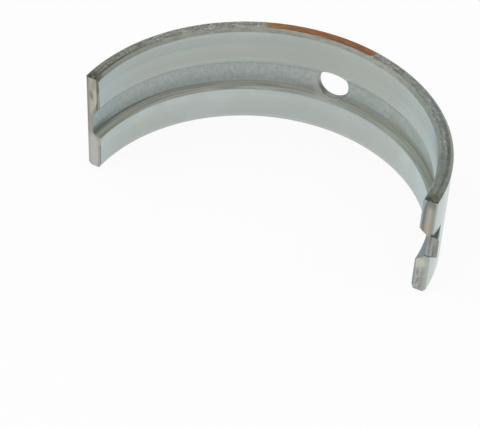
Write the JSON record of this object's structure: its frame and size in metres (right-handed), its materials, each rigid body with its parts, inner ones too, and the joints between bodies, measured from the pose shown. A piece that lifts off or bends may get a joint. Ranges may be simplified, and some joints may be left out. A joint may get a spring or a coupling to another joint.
{
  "type": "engine bearing shell",
  "caption": "Grooved half shell of an engine main bearing: a lined half-round steel wall with an oil groove round the bore, an oil hole at the crown and a locating lug at one parting face.",
  "frame": {"origin": "middle of the bearing's axis, half way along the width", "axes": "+Z along the bearing's axis and up as the shell stands on its rim, +Y towards the crown, +X towards the parting face with the lug"},
  "size_m": [0.084, 0.0413, 0.0254],
  "materials": {
    "lined_steel": "satin machined steel with a pale grey lining"
  },
  "bodies": {
    "root": {"bearing_shell": "lined_steel"}
  },
  "joints": []
}
